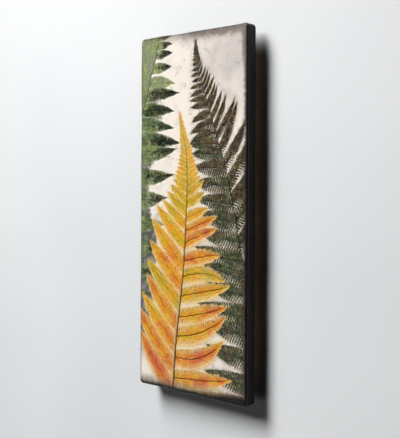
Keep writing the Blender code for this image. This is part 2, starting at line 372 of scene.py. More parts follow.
# The three fronds, in millimetres on the face. A join is where a pinna leaves the rachis, as a distance down
# the face, and a law's pairs are (join, value). From the tip to the first join, pinnae follow spacing.
# rachis is the midrib's course, stem its half width, and halo how far a soft margin runs out. A pinna has a
# reach (length), half (half width), rise (slope in degrees) and bend (bow as a part of its length); root is
# its width at the base as a part of half, and taper the powers of its outline. A pinnule has a pitch
# (width), lean (towards the tip), fill (how much of its width is leaf) and roundness; upperFill, firm, close
# and uneven are what the upper side, this side, the tip and chance add to fill. web joins pinnules beside
# the costa, vein is how deep the costa shows, and tone the place between the frond's two colours. wander
# and warp are what chance adds to a pinna's size and course.
golden = {
    "rachis": [(79.5, 109), (83, 128), (88, 148), (92.5, 168), (94.5, 190), (95, 225), (93, 262),
               (91.5, 292), (89, 328), (85.5, 360), (81, 394), (76.5, 426), (73, 454), (70.5, 490),
               (69, 520), (68, 560)],
    "seed": 11, "wander": 0.04, "lean": 0.55, "roundness": 2.2, "warp": 0.7,
    "spacing": [(109, 2.2), (150, 3.6), (180, 5.6), (210, 8.6), (240, 13)],
    "pitch": [(109, 1.4), (170, 2.0), (240, 2.8), (310, 3.6), (520, 4.2)],
    "fill": [(109, 1.4), (230, 1.15), (330, 1.0), (520, 0.98)], "upperFill": 0.06, "web": 0.8,
    "uneven": 0.16, "close": 0.1, "taper": (3.2, 1.0), "root": 0.85, "halo": 4.0,
    "stem": [(109, 0.3), (170, 0.6), (310, 0.9), (500, 1.3)],
    "right": {
        "firm": 0.0, "joins": [242, 262, 280, 297, 322, 345, 372, 402, 430, 460, 489, 520],
        "reach": [(109, 0.8), (130, 5), (164, 11), (185, 16), (203, 22), (221, 30), (242, 36), (262, 43),
                  (280, 59), (297, 63), (322, 73), (345, 80), (372, 87), (402, 86), (430, 98), (460, 96),
                  (489, 103)],
        "rise": [(109, 66), (140, 50), (164, 38), (185, 30), (221, 31), (242, 27), (262, 21), (297, 21),
                 (322, 10), (345, 0), (372, 13), (402, 14), (430, 22), (460, 20), (489, 6), (520, 12)],
        "bend": [(109, -0.03), (280, 0), (322, 0.03), (345, 0.11), (372, 0.01), (402, -0.01), (430, -0.08),
                 (460, -0.11), (489, -0.04)],
        "half": [(109, 0.7), (130, 2.2), (164, 3.6), (200, 5.6), (221, 7.2), (262, 9.0), (297, 9.8),
                 (322, 11.2), (345, 12.2), (402, 13.4), (430, 14), (489, 14.4)],
        "vein": [(109, 0), (219, 0.1), (279, 0.7), (370, 1)],
        "tone": [(109, 0.05), (170, 0.35), (240, 0.2), (262, 0.55), (280, 0.5), (297, 0.75), (322, 0.75),
                 (345, 0.25), (372, 0.2), (402, 0.6), (430, 0.45), (460, 0.75), (489, 0.55)],
    },
    "left": {
        "firm": 0.3, "joins": [237, 252, 272, 298, 330, 357, 385, 414, 445, 476, 508],
        "reach": [(109, 0.8), (130, 5), (164, 12), (190, 18), (203, 22), (221, 29), (237, 38), (252, 46),
                  (272, 56), (298, 76), (330, 93), (357, 90), (385, 91), (414, 99), (445, 104), (476, 108)],
        "rise": [(109, 66), (140, 48), (164, 32), (185, 20), (203, 22), (221, 30), (237, 36), (272, 37),
                 (298, 43), (330, 45), (357, 42), (385, 42), (414, 47), (560, 49)],
        "bend": [(109, -0.03), (260, -0.02), (560, -0.03)],
        "half": [(109, 0.7), (130, 2.2), (164, 3.6), (200, 5.6), (237, 8), (272, 9), (298, 11.8),
                 (330, 12.8), (560, 14.6)],
        "vein": [(109, 0), (260, 0.1), (370, 0.35), (520, 0.5)],
        "tone": [(109, 0.05), (170, 0.3), (237, 0.1), (272, 0.1), (298, 0.3), (330, 0.5), (357, 0.65),
                 (385, 0.25), (414, 0.7), (445, 0.45), (476, 0.6), (508, 0.85)],
    },
}
dark = {
    "rachis": [(110, 12), (111.5, 35), (115, 58), (123, 78), (131.5, 100), (140, 122), (149, 150),
               (159, 173), (169, 205), (178, 240), (187, 280), (196, 317), (205, 345), (214, 383),
               (224, 428), (231, 488), (235, 540)],
    "seed": 3, "wander": 0.04, "lean": 0.35, "roundness": 3.0, "warp": 0.6,
    "spacing": [(12, 2.3), (35, 4.0), (60, 8)],
    "pitch": [(12, 1.4), (70, 2.0), (120, 2.7), (165, 3.4), (215, 4.0), (260, 4.3)],
    "fill": [(12, 1.3), (115, 1.1), (155, 0.8), (205, 0.62)], "upperFill": 0.4, "web": 1.0,
    "uneven": 0.34, "close": 0.7, "taper": (2.8, 1.05), "root": 0.95, "halo": 2.4,
    "stem": [(12, 0.5), (110, 0.8), (310, 1.3)],
    "left": {
        "firm": 0.0, "joins": [54, 61, 69, 77, 85, 95, 105, 116, 129, 144, 160, 174, 194, 217, 242, 266,
                               292, 317, 340, 363, 389, 416, 447, 481, 515],
        "reach": [(12, 3), (40, 8), (54, 12), (69, 17), (77, 22), (85, 27), (105, 34), (129, 44), (144, 51),
                  (160, 54), (194, 58), (217, 63), (266, 67), (292, 73), (317, 82), (363, 86), (389, 97),
                  (416, 92), (447, 96), (481, 105)],
        "rise": [(12, 60), (30, 35), (44, 5), (54, -8), (77, -8), (85, -14), (98, -5), (105, -6),
                 (116, -20), (129, -21), (144, -17), (160, 0), (194, 2), (217, 3), (242, 8), (317, 11),
                 (340, 12), (389, 7), (447, 9), (481, 6)],
        "bend": [(12, 0), (85, 0.03), (144, 0.04), (165, 0.02), (210, 0), (310, -0.02)],
        "half": [(12, 1.8), (30, 2.8), (54, 3.4), (69, 4.1), (85, 5.0), (105, 6.0), (129, 8.0), (160, 10.8),
                 (194, 13), (217, 14), (266, 15), (317, 15.5), (480, 16.5)],
        "vein": [(12, 0.4), (140, 0.6), (190, 1)],
        "tone": [(12, 0.1), (140, 0.15), (160, 0.8), (174, 0.55), (194, 0.25), (217, 0.6), (242, 0.5),
                 (266, 0.75), (292, 0.6), (317, 0.85), (481, 0.85)],
    },
    "right": {
        "firm": 0.15, "joins": [48, 55, 62, 70, 77, 84, 92, 102, 110, 122, 137, 149, 167, 188, 213, 238,
                                264, 294, 330],
        "reach": [(12, 3), (35, 8), (48, 12), (62, 18), (77, 24), (92, 31), (102, 33), (110, 37), (122, 41),
                  (137, 52), (149, 56), (167, 73), (188, 77), (213, 80), (238, 84)],
        "rise": [(12, 72), (35, 66), (77, 64), (92, 60), (110, 64), (122, 63), (137, 65), (149, 59),
                 (167, 65), (188, 59), (213, 57), (238, 53), (300, 48)],
        "bend": [(12, -0.03), (100, -0.05), (200, -0.04), (540, 0)],
        "half": [(12, 1.5), (48, 2.3), (77, 2.8), (92, 3.5), (110, 3.9), (122, 4.3), (137, 5), (149, 5.6),
                 (167, 6.8), (188, 8.8), (213, 10), (238, 11), (264, 12.5)],
        "vein": [(12, 0.3), (160, 0.8)],
        "tone": [(12, 0.1), (167, 0.1), (188, -0.2), (213, 0.15), (238, 0.6), (540, 0.6)],
    },
}
sage = {
    "rachis": [(47, -30), (39, 0), (34, 20), (28, 41), (20, 62), (15, 80), (8, 98), (-2, 123), (-10, 150),
               (-16, 172), (-22, 203), (-28, 238), (-34, 280), (-40, 335), (-44, 400)],
    "seed": 5, "wander": 0.04, "lean": 0.8, "roundness": 2.6, "warp": 0.9,
    "spacing": [(0, 20)], "pitch": [(0, 2.4), (400, 2.8)], "fill": [(0, 1.3)], "upperFill": 0.0, "web": 0.9,
    "uneven": 0.25, "close": 0.1, "taper": (3.4, 1.5), "root": 0.9, "halo": 3.0,
    "stem": [(0, 0.9), (400, 1.0)],
    "right": {
        "firm": 0.0, "joins": [3, 15, 28, 47, 68, 86, 107, 128, 150, 171, 203, 238, 272, 306, 340, 372],
        "reach": [(3, 26), (15, 30), (28, 34), (47, 42), (68, 55), (86, 66), (107, 70), (128, 77),
                  (150, 91), (171, 93), (203, 90), (238, 90), (306, 80), (400, 70)],
        "rise": [(3, 2), (47, 3), (68, -2), (86, 2), (107, -2), (128, -5), (150, -4), (171, 5), (203, 3),
                 (272, 0), (400, -4)],
        "bend": [(3, 0), (107, 0.03), (150, 0.03), (165, 0.02), (171, -0.03), (203, -0.03), (400, 0)],
        "half": [(3, 5.5), (28, 7.5), (47, 8.4), (68, 10.4), (86, 11), (107, 10.6), (128, 11), (150, 12.5),
                 (203, 14.5), (238, 14), (400, 11)],
        "vein": [(0, 0.8)],
        "tone": [(3, 0.9), (28, 0.85), (47, 0.7), (66, 0), (70, 0), (86, 1.0), (107, 0.95), (128, 0.66),
                 (150, 0.75), (171, 0.6), (203, 0.66), (238, 0.5), (272, 0.4), (400, 0.4)],
    },
    "left": {
        "firm": 0.0, "joins": [-10, 6, 22, 38, 54, 70, 86, 102, 120], "reach": [(0, 70)], "rise": [(0, 66)],
        "bend": [(0, -0.03)], "half": [(0, 9.0)], "tone": [(0, 0.0)], "vein": [(0, 0.3)],
    },
}


# widths in mm of a costa and of a pinnule's rib, how softly a pinnule's edge is cut, how close to the costa
# the web reaches as a part of the width, and what chance adds to a pinna's slope in degrees and to its bow
cut = {"costa": 0.7, "rib": 0.3, "soft": 0.9, "webReach": 0.16, "riseWander": 0.8, "bendWander": 0.01}


def stampPinna(press, u, v, stemSide, base, chord, rise, bend, side, looks, plan):
    # x runs from base to tip, d across from the bowed costa; the blade's edge is a power curve of x, and
    # its pinnules are slots in phase with (x - lean |d|) / pitch that open towards the edge
    tip = base + chord * np.array([side * math.cos(rise), -math.sin(rise)])
    margin = looks["half"] + 2.5 * plan["halo"] + abs(bend) * chord
    low, high = np.minimum(base, tip) - margin, np.maximum(base, tip) + margin
    window = (slice(*np.searchsorted(v, (low[1], high[1]))), slice(*np.searchsorted(u, (low[0], high[0]))))
    du, dv = tip - base
    uu = u[None, window[1]] - base[0] + press["warpU"][window]
    vv = v[window[0], None] - base[1] + press["warpV"][window]
    x = (uu * du + vv * dv) / chord
    t = np.clip(x / chord, 0, 1)
    slope = 4 * bend * (1 - 2 * t)
    d = ((uu * dv - vv * du) / chord * side - 4 * bend * chord * t * (1 - t)) / np.sqrt(1 + slope ** 2)
    power, sharp = plan["taper"]
    root = plan["root"] + (1 - plan["root"]) * smoothStep(0, 0.3, t)
    width = looks["half"] * root * (1 - t ** power) ** sharp + 1e-6
    r = np.abs(d) / width
    inner = stemSide[window] * side                     # how far outside the rachis, on this pinna's side
    outside = np.hypot(np.maximum(np.abs(d) - width, 0),
                       np.maximum(np.maximum(-inner, x - chord), 0))
    halo = np.clip(np.exp(-outside / plan["halo"]) - 0.08, 0, 1) / 0.92     # ends at 2.5 times its length
    pitch = looks["pitch"]
    phase = (x - plan["lean"] * np.abs(d)) / pitch + np.where(d > 0, 0.5, 0)
    a = np.abs((phase % 1) - 0.5) * 2                   # 0 on a pinnule's own rib, 1 between two pinnules
    rounding = (1 - np.clip(r, 0, 1) ** plan["roundness"]) ** (1 / plan["roundness"])
    chance = np.sin(np.floor(phase) * 12.9898 + base[1] * 4.7) + press["ragged"][window]
    fill = looks["fill"] + np.where(d > 0, plan["upperFill"], 0) + plan["close"] * t + plan["uneven"] * chance
    blade = fill * rounding + plan["web"] * np.exp(-r / cut["webReach"])
    soft = cut["soft"] / pitch
    onSide = smoothStep(-0.3, 0.5, inner) * (x > -1.4 * looks["half"])
    leaf = smoothStep(-soft, soft, blade - a) * (r < 1) * (x < chord) * onSide
    costa = looks["vein"] * np.exp(-(d / cut["costa"]) ** 2)
    costa *= smoothStep(0, 0.6, inner) * smoothStep(-1.0, -0.75, -x / chord)
    rib = np.exp(-(a * pitch / 2 / cut["rib"]) ** 2) * (r < 0.85) * leaf * min(1, (pitch - 1) / 2.4)
    # long streaks of stain that run with the costa
    streak = clouds(x * 0.2, d + 7 * base[1], 3.2, plan["seed"] + 80)
    # where pinnae overlap, the nearest one gives the colour
    nearest = halo >= press["halo"][window]
    shades = {"tone": looks["tone"], "along": t, "across": np.minimum(r, 1.5), "streak": streak}
    for name, value in shades.items():
        press[name][window] = np.where(nearest, value, press[name][window])
    for name, value in (("halo", halo), ("leaf", leaf), ("costa", costa), ("rib", rib)):
        press[name][window] = np.maximum(press[name][window], value)


def pressFrond(u, v, plan):
    # every pinna of both sides, stamped from the tip down, then the rachis itself
    rng = np.random.default_rng(plan["seed"])
    shape = (len(v), len(u))
    press = {name: np.zeros(shape, np.float32)
             for name in ("leaf", "halo", "tone", "along", "across", "streak", "costa", "rib")}
    press["warpU"] = plan["warp"] * clouds(u[None, :], v[:, None], 12, plan["seed"] + 50)
    press["warpV"] = plan["warp"] * clouds(u[None, :], v[:, None], 12, plan["seed"] + 60)
    press["ragged"] = 1.6 * clouds(u[None, :], v[:, None], 2.8, plan["seed"] + 70)
    rachis = through(plan["rachis"])
    top = plan["rachis"][0][1]
    stemU = np.interp(v, rachis[:, 1], rachis[:, 0])
    lean = np.gradient(stemU, v)
    stemSide = ((u[None, :] - stemU[:, None]) / np.sqrt(1 + lean[:, None] ** 2)).astype(np.float32)
    for side, laws in ((1, plan["right"]), (-1, plan["left"])):
        # small pinnae from the tip to the first join, then the ones that have joins of their own
        first, small = laws["joins"][0], []
        at = top + law(plan["spacing"], top) * (2 if side > 0 else 1.5)
        while at < first - 0.6 * law(plan["spacing"], at):
            small.append(at)
            at += law(plan["spacing"], at) * (1 + 0.5 * plan["wander"] * rng.standard_normal())
        for at in small + laws["joins"]:
            base = np.array([np.interp(at, rachis[:, 1], rachis[:, 0]), at])
            shift = 1 + plan["wander"] * rng.standard_normal(3)
            chord = law(laws["reach"], at) * shift[0]
            rise = math.radians(law(laws["rise"], at) + cut["riseWander"] * rng.standard_normal())
            bend = law(laws["bend"], at) + cut["bendWander"] * rng.standard_normal()
            looks = {"half": law(laws["half"], at) * shift[1], "tone": law(laws["tone"], at),
                     "vein": law(laws["vein"], at), "pitch": law(plan["pitch"], at),
                     "fill": law(plan["fill"], at) + laws["firm"]}
            stampPinna(press, u, v, stemSide, base, chord, rise, bend, side, looks, plan)
    thick = law(plan["stem"], v)[:, None]
    present = smoothStep(0, 12, v - top)[:, None]
    press["stemSide"] = stemSide
    press["stem"] = np.exp(-(stemSide / thick) ** 2) * present
    press["stemLip"] = np.exp(-((np.abs(stemSide) - 2.2 * thick) / thick) ** 2) * present
    return press


# millimetres: grid cell, roll-over and corner radii, and the depths of what is pressed into the clay
face = {"cell": 0.42, "roll": 3.2, "corner": 6.0, "edgeWave": 0.55, "bands": 7,
        "sagePress": 0.30, "darkPress": 0.42, "goldPress": 0.50, "goldSwell": 0.40, "costaDepth": 0.40,
        "ribDepth": 0.10, "stemDepth": 0.9, "stemLip": 0.22, "sway": 0.30, "grit": 0.035}


def edgeStations(length):
    # even cells with a quarter circle's spacing at both ends, where the edge rolls over
    turn = face["roll"] * (1 - np.cos(np.linspace(0, math.pi / 2, 9)))
    count = round((length - 2 * face["roll"]) / face["cell"])
    inside = np.linspace(face["roll"], length - face["roll"], count)
    return np.concatenate([turn[:-1], inside, length - turn[-2::-1]])


def outlineMap(u, v):
    # square corners become quarter circles (x sqrt(1 - y^2/2)), and the sides wave a little by hand;
    # also gives the distance inside the outline
    corner = face["corner"]
    au, av = u - faceWidth / 2, v - faceHeight / 2
    cu = np.clip((np.abs(au) - faceWidth / 2 + corner) / corner, 0, 1)
    cv = np.clip((np.abs(av) - faceHeight / 2 + corner) / corner, 0, 1)
    ru, rv = cu * np.sqrt(1 - cv ** 2 / 2), cv * np.sqrt(1 - cu ** 2 / 2)
    inU = np.where(cu > 0, faceWidth / 2 - corner + ru * corner, np.abs(au))
    inV = np.where(cv > 0, faceHeight / 2 - corner + rv * corner, np.abs(av))
    both = (cu > 0) & (cv > 0)
    inside = np.where(both, corner - corner * np.hypot(ru, rv),
                      np.minimum(faceWidth / 2 - inU, faceHeight / 2 - inV))
    mu, mv = np.sign(au) * inU, np.sign(av) * inV
    wave = face["edgeWave"]
    mu = mu + wave * clouds(v, np.sign(au) * 300, 90, 21) * (np.abs(au) / faceWidth * 2) ** 3
    mv = mv + wave * clouds(u, np.sign(av) * 300, 70, 22) * (np.abs(av) / faceHeight * 2) ** 6
    return mu + faceWidth / 2, mv + faceHeight / 2, inside


def toRow(u, v, depth):
    # face millimetres, with depth measured back from the face, to the row's metres
    u, v, depth = np.broadcast_arrays(u, v, depth)
    return np.stack([slabLow.x + u * mm, slabLow.y + depth * mm, slabHigh.z - v * mm], axis=-1)


def putLayer(mesh, name, values):
    # three numbers for each point, which the glaze reads
    layer = mesh.attributes.new(name, "FLOAT_VECTOR", "POINT")
    layer.data.foreach_set("vector", np.stack(values, axis=-1).astype(np.float32).ravel())


def gridFaces(rows, columns):
    # a square between each four neighbouring points of a grid
    at = np.arange(rows * columns).reshape(rows, columns)
    return np.stack([at[:-1, :-1], at[1:, :-1], at[1:, 1:], at[:-1, 1:]], axis=-1).reshape(-1, 4)


def meshFrom(name, points, quads, material):
    # whole arrays of points and four-sided faces put straight into a mesh
    mesh = bpy.data.meshes.new(name)
    mesh.vertices.add(len(points))
    mesh.vertices.foreach_set("co", points.astype(np.float32).ravel())
    mesh.loops.add(quads.size)
    mesh.loops.foreach_set("vertex_index", quads.astype(np.int32).ravel())
    mesh.polygons.add(len(quads))
    mesh.polygons.foreach_set("loop_start", np.arange(0, quads.size, quads.shape[1], dtype=np.int32))
    mesh.update(calc_edges=True)
    mesh.shade_smooth()
    mesh.materials.append(material)
    piece = bpy.data.objects.new(name, mesh)
    bpy.context.scene.collection.objects.link(piece)
    return piece


def surfaceNormals(points):
    # across a grid, the cross product of its two slopes
    down, right = np.gradient(points, axis=0), np.gradient(points, axis=1)
    normal = np.cross(down, right)
    return normal / np.linalg.norm(normal, axis=-1, keepdims=True)


def pressFace():
    # the relief in mm (positive stands proud) and the stain layers, over the whole face
    u, v = edgeStations(faceWidth), edgeStations(faceHeight)
    gridU, gridV = np.meshgrid(u, v)
    green, brown, gold = pressFrond(u, v, sage), pressFrond(u, v, dark), pressFrond(u, v, golden)
    height = face["sway"] * clouds(gridU, gridV, 75, 31) + face["grit"] * clouds(gridU, gridV, 2.3, 32)
    height -= face["sagePress"] * green["leaf"] + 0.7 * face["costaDepth"] * green["costa"]
    height -= face["darkPress"] * brown["leaf"] + face["costaDepth"] * brown["costa"]
    height -= face["ribDepth"] * (green["rib"] + brown["rib"])
    height -= 0.6 * face["stemDepth"] * np.maximum(brown["stem"], green["stem"])
    height += 0.5 * face["stemLip"] * brown["stemLip"]
    # the golden frond was pressed last: it flattens what lies under it, and clay swells up round it
    height = height * (1 - 0.75 * gold["halo"]) + face["goldSwell"] * gold["halo"]
    height -= face["goldPress"] * gold["leaf"] * (1 - 0.4 * gold["across"]) + face["ribDepth"] * gold["rib"]
    height -= 1.3 * face["costaDepth"] * gold["costa"] + face["stemDepth"] * gold["stem"]
    height += face["stemLip"] * gold["stemLip"]
    mu, mv, inside = outlineMap(gridU, gridV)
    height *= smoothStep(0, 4.5, inside)
    bow = np.clip(face["roll"] - inside, 0, face["roll"])
    depth = face["roll"] - np.sqrt(face["roll"] ** 2 - bow ** 2) - height
    points = toRow(mu, mv, depth)
    veins = np.clip(gold["costa"] + gold["stem"], 0, 1)
    darkVeins = 0.8 * brown["costa"] + brown["stem"] + 0.6 * green["costa"] + 0.8 * green["stem"]
    besideStem = np.exp(-((gold["stemSide"] + 3.2) / 1.9) ** 2)         # a band just left of the gold rachis
    layers = {
        "gold": (gold["leaf"], gold["halo"], gold["tone"]),
        "goldForm": (gold["across"], 0.5 + 0.5 * gold["streak"], veins),
        "dark": (brown["leaf"], brown["halo"], brown["tone"]),
        "sage": (green["leaf"], green["halo"], green["tone"]),
        "form": (green["along"], green["across"], np.clip(darkVeins, 0, 1)),
        "comb": (gold["rib"], np.maximum(brown["rib"], green["rib"]), besideStem),
    }
    return u, v, points, layers


def buildFace(material):
    # one grid cut across into bands, with the normals of the whole so that the seams don't show
    u, v, points, layers = pressFace()
    normals = surfaceNormals(points)
    rows = np.linspace(0, len(v) - 1, face["bands"] + 1).round().astype(int)
    for number, (first, last) in enumerate(zip(rows, rows[1:])):
        part = slice(first, last + 1)
        count = last + 1 - first
        quads = gridFaces(count, len(u))
        piece = meshFrom("face_band_" + str(number + 1), points[part].reshape(-1, 3), quads, material)
        for name, values in layers.items():
            putLayer(piece.data, name, [value[part].ravel() for value in values])
        unwrap = piece.data.uv_layers.new(name="OFBake")
        across, down = np.meshgrid(np.linspace(0.002, 0.998, len(u)), np.linspace(0.998, 0.002, count))
        flat = np.stack([across.ravel(), down.ravel()], axis=-1)[quads.ravel()]
        unwrap.data.foreach_set("uv", flat.astype(np.float32).ravel())
        piece.data.normals_split_custom_set_from_vertices(normals[part].reshape(-1, 3).tolist())
        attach(piece, "root")
        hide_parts("plaque")
    print("face pressed:", len(u), "x", len(v), "points in", face["bands"], "bands")


# the face's colours; a list's numbers say where along a noise each of its colours comes in
glaze = {
    "cream": "#f9efe2", "greyCream": "#d6ccc5", "violetBlotch": "#b3aab2", "brownSpeck": "#7d6c60",
    "sageGreens": [(0.38, "#4a5f38"), (0.47, "#6f8350"), (0.55, "#939f62"), (0.64, "#bcbe7e")],
    "washShade": "#dfe0c8", "washDeep": "#465241", "washTeal": "#6a9a82", "washViolet": "#8d8290",
    "washBlack": "#18241a",
    "sageCores": [(0.42, "#090d07"), (0.5, "#20291a"), (0.56, "#4a4a33"), (0.63, "#857752")],
    "coreTeal": "#355a42",
    "darkOlives": [(0.42, "#0e0a03"), (0.49, "#2a210f"), (0.55, "#5f5029"), (0.62, "#978451")],
    "darkGreens": [(0.42, "#080d05"), (0.49, "#232f16"), (0.55, "#4c582c"), (0.62, "#8f9559")],
    "russet": "#6b4a2c", "darkGaps": "#84733f", "darkVeins": "#0a0906",
    "resist": "#f2dcae", "dullResist": "#dbc3ac", "resistGlow": "#ecd09a",
    "golds": [(0.0, "#c9a70e"), (0.2, "#e8b60e"), (0.45, "#f0a012"), (0.72, "#e37a1c"), (1.0, "#d75c2c")],
    "paleGold": "#f5d57c", "hatching": "#94520f", "stemBand": "#cdb182", "goldVeins": "#351c0a",
    "smokeAndShade": "#77655a", "scorch": "#2a2119", "edgeLineAndShade": "#130e0c",
}


class Ground:
    # what every coat of the face's glaze shares: places in mm from the left and the top edge, and noises
    def __init__(self, bench):
        x, _, z = bench.place().split()
        self.right, self.down = (x - slabLow.x) / mm, (slabHigh.z - z) / mm
        self.fine, self.small = bench.noise(2.2, 3.0, 0.6), bench.noise(5, 4.0, 0.6)
        self.wide, self.broad = bench.noise(12, 3.0), bench.noise(24, 2.0)


def groundCoat(bench, at):
    # bare glazed ground: cream, greyer to the top right, violet blotches, brown specks
    greyer = (at.right / faceWidth - at.down / 260 + (bench.noise(50, 3.0) - 0.5) * 1.2).step(0.1, 0.9)
    colour = bench.mix(paint(glaze["cream"]), paint(glaze["greyCream"]), greyer)
    blotch = bench.noise(9, 1.5).step(0.63, 0.72) * 0.5 + bench.noise(28, 3.0).step(0.5, 0.7) * 0.3
    colour = bench.coat(colour, glaze["violetBlotch"], blotch)
    specks = (1 - bench.dots(3.1).step(0.04, 0.15)) * bench.noise(14, 1.0).step(0.48, 0.62)
    return bench.coat(colour, glaze["brownSpeck"], specks * 0.65)


def sageCoat(bench, colour, at):
    # a green wash along the left edge, and pinnae that darken to near black towards their tips
    leaf, _, tone = bench.layer("sage")
    along, across, _ = bench.layer("form")
    green = bench.ramp(at.wide * 0.5 + at.fine * 0.5, glaze["sageGreens"])
    reach = at.down.step(60, 105) * 38 - at.down.step(172, 188) * 20 + at.down.step(235, 262) * 16
    washed = (reach - at.right + (at.broad - 0.5) * 50 + (at.small - 0.5) * 22).step(-5, 7)
    washed = washed * (1 - at.down.step(430, 480))
    wash = bench.shade(green, glaze["washShade"])
    wash = bench.coat(wash, glaze["washDeep"], (1 - at.right.step(0, 24)) * 0.7)
    teal = bench.noise(11, 2.0).step(0.57, 0.66) * at.down.step(180, 280)
    wash = bench.coat(wash, glaze["washTeal"], teal * 0.7)
    violet = (bench.noise(17, 2.0) + at.down.step(200, 290) * 0.07).step(0.51, 0.6)
    wash = bench.coat(wash, glaze["washViolet"], violet * 0.8)
    black = (bench.noise(9, 3.0) + at.down.step(100, 330) * 0.06).step(0.49, 0.6)
    wash = bench.coat(wash, glaze["washBlack"], black * 0.85)
    colour = bench.mix(colour, wash, washed * 0.92)
    colour = bench.mix(colour, green, leaf * (0.9 + (at.wide - 0.5) * 0.6))
    start = along + (at.small - 0.5) * 1.3 + (at.fine - 0.5) * 0.8 + tone - 1
    deep = bench.ramp(at.wide * 0.35 + at.fine * 0.65, glaze["sageCores"])
    deep = bench.coat(deep, glaze["coreTeal"], bench.noise(10, 2.0).step(0.54, 0.64) * 0.5)
    core = start.step(-0.02, 0.2) * (1 - (across + (at.small - 0.5) * 1.5).step(0.55, 1.0) * 0.65)
    return bench.mix(colour, deep, leaf * tone.step(0.02, 0.2) * core), leaf, washed


def darkCoat(bench, colour, at):
    # olive black and brown above, green below, with dirty gaps between the pinnules
    leaf, halo, tone = bench.layer("dark")
    _, _, veins = bench.layer("form")
    _, ribs, _ = bench.layer("comb")
    lumps = at.small * 0.45 + at.fine * 0.55
    olive, green = bench.ramp(lumps, glaze["darkOlives"]), bench.ramp(lumps, glaze["darkGreens"])
    body = bench.mix(olive, green, (tone + (at.broad - 0.5) * 2.4).step(0.35, 0.65))
    body = bench.coat(body, glaze["russet"], bench.noise(16, 3.0).step(0.53, 0.66) * 0.55)
    gaps = halo * (1 - leaf) * (at.small + tone * 0.1).step(0.38, 0.6)
    colour = bench.coat(colour, glaze["darkGaps"], gaps * 0.66)
    colour = bench.mix(colour, body, leaf * (0.97 + (at.fine - 0.5) * 0.3))
    return bench.coat(colour, glaze["darkVeins"], veins * 0.95 + ribs * 0.45), leaf


def goldCoat(bench, colour, at, darkLeaf, washed):
    # a thin cream resist round the frond, warm washes in it, mottled and paler at the margins
    leaf, halo, tone = bench.layer("gold")
    across, streak, veins = bench.layer("goldForm")
    ribs, _, stemBand = bench.layer("comb")
    glow = halo.step(0.05, 0.5) * (1 - darkLeaf) * (1 - washed) * (0.1 + at.down.step(220, 300) * 0.5)
    colour = bench.coat(colour, glaze["resistGlow"], glow)
    cream = bench.mix(paint(glaze["resist"]), paint(glaze["dullResist"]), at.wide.step(0.4, 0.62))
    colour = bench.mix(colour, cream, (halo * 0.9 + (at.small - 0.5) * 1.2).step(0.6, 1.0) * 0.9)
    heat = tone * 0.75 + (at.broad - 0.5) * 1.9 + (at.small - 0.5) * 0.6 + (streak - 0.5) * 0.9
    warm = bench.ramp(heat + at.down.step(320, 470) * 0.16, glaze["golds"])
    pale = across * 0.35 + at.fine * 0.4 + at.small * 0.4 + streak * 0.35 - at.down.step(150, 280) * 0.12
    warm = bench.coat(warm, glaze["paleGold"], pale.step(0.57, 0.83) * 0.55)
    hatch = ribs * (0.15 + across * 0.6) + (0.46 - at.fine).step(0, 0.09) * 0.4
    warm = bench.coat(warm, glaze["hatching"], hatch)
    spread = (halo.step(0.3, 1) - leaf) * (at.small + at.fine * 0.5).step(0.6, 0.9) * 0.6
    colour = bench.mix(colour, warm, leaf * (0.96 + (at.small - 0.5) * 0.4) + spread)
    colour = bench.coat(colour, glaze["stemBand"], stemBand * at.down.step(330, 420) * 0.8)
    return bench.coat(colour, glaze["goldVeins"], veins * (0.55 + at.down.step(150, 330) * 0.45)), leaf


def edgeStainAndShade(bench, colour, at):
    # oxide rubbed into the edges: brown smoke along the top and right, a scorched right side, a near black
    # line at the very edge; along the bottom the smoke is partly painted shade, and along the left edge the
    # smoke and the line are painted shade
    right, down = at.right, at.down
    ragged = (bench.noise(7, 4.0, 0.65) - 0.5) * 2
    toRight, toBottom = faceWidth - right, faceHeight - down
    upper = right.step(20, 150) * (1 - right.step(faceWidth - 18, faceWidth) * 0.2)
    smokeAndShade = (1 - (down + ragged * 8).step(2, 20)) * (0.25 + upper * 0.65)
    smokeAndShade = smokeAndShade.top((1 - (toRight + ragged * 5 - (1 - down.step(0, 90)) * 6).step(0, 10)) * 0.75)
    # along the bottom: painted shade where the face curves over, mixed with smoke stain that grows stronger
    # to the right
    smokeAndShade = smokeAndShade.top((1 - (toBottom + ragged * 8).step(2, 25)) * (0.62 + right.step(130, 190) * 0.35))
    # along the left edge: painted shade where the face rolls over
    smokeAndShade = smokeAndShade.top((1 - (right + ragged * 2).step(0, 8)) * 0.6)
    colour = bench.coat(colour, glaze["smokeAndShade"], smokeAndShade.step(0, 0.75) * 0.9)
    scorched = (1 - (toRight + ragged * 7).step(0, 15)) * down.step(110, 190)
    colour = bench.coat(colour, glaze["scorch"], scorched * 0.8)
    edge = (1 - (down + ragged * 2).step(1, 5)) * (0.6 + upper * 0.4)
    edge = edge.top(1 - (toRight + ragged * 1.5).step(1, 6))
    edge = edge.top(1 - (toBottom + ragged * 3 - right.step(120, 200) * 6).step(2, 9))
    # the thin dark line along the left edge is painted shade too
    edge = edge.top((1 - (right + ragged).step(0, 3)) * 0.8)
    return bench.coat(colour, glaze["edgeLineAndShade"], edge)


def faceGlaze():
    # the coats in the order they are laid, glossier on the fronds, with fine pits
    bench = Bench("faceGlaze", Specular_IOR_Level=0.4)
    at = Ground(bench)
    colour = groundCoat(bench, at)
    colour, sageLeaf, washed = sageCoat(bench, colour, at)
    colour, darkLeaf = darkCoat(bench, colour, at)
    colour, goldLeaf = goldCoat(bench, colour, at, darkLeaf, washed)
    colour = edgeStainAndShade(bench, colour, at)
    glossy = goldLeaf.top(darkLeaf).top(sageLeaf)
    roughness = 0.42 + (bench.noise(20, 3.0) - 0.5) * 0.25 - glossy * 0.12
    pits = bench.bump(bench.noise(1.1, 3.0, 0.6), 0.25, 0.0004)
    return bench.finish(Base_Color=colour, Roughness=roughness, Normal=pits)


buildFace(faceGlaze())


